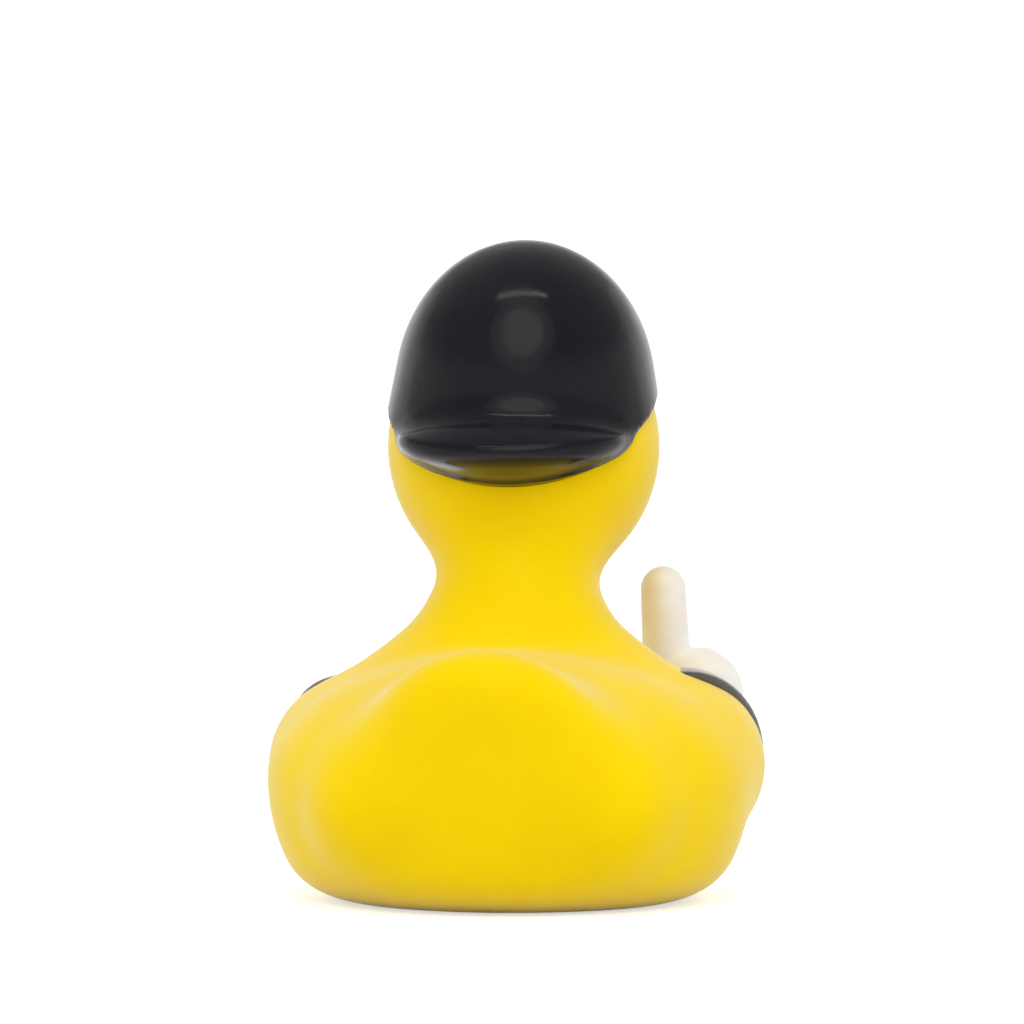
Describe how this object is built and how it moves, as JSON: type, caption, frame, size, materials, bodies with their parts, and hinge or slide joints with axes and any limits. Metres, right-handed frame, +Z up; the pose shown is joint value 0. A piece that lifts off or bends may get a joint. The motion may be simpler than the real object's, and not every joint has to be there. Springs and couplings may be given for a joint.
{
  "type": "rubber duck",
  "caption": "Yellow bath duck in a gloss black cap worn back to front, with dark sleeves and one thumb raised, and a squeaker plug in its flat base.",
  "frame": {"origin": "on the base plane, under the middle of the bounding box", "axes": "+Z up from the flat base, -Y the way the bill points, -X the side of the duck's raised right hand"},
  "size_m": [0.0708, 0.0806, 0.094],
  "materials": {
    "yellow_vinyl": "soft matte vinyl",
    "black_gloss": "gloss paint on vinyl",
    "black_satin": "satin paint on vinyl",
    "skin": "matte paint on vinyl",
    "orange_bill": "satin paint on vinyl",
    "white_plug": "plain moulded plastic"
  },
  "bodies": {
    "root": {"duck_moulding": "yellow_vinyl", "squeaker_plug": "white_plug"}
  },
  "joints": []
}
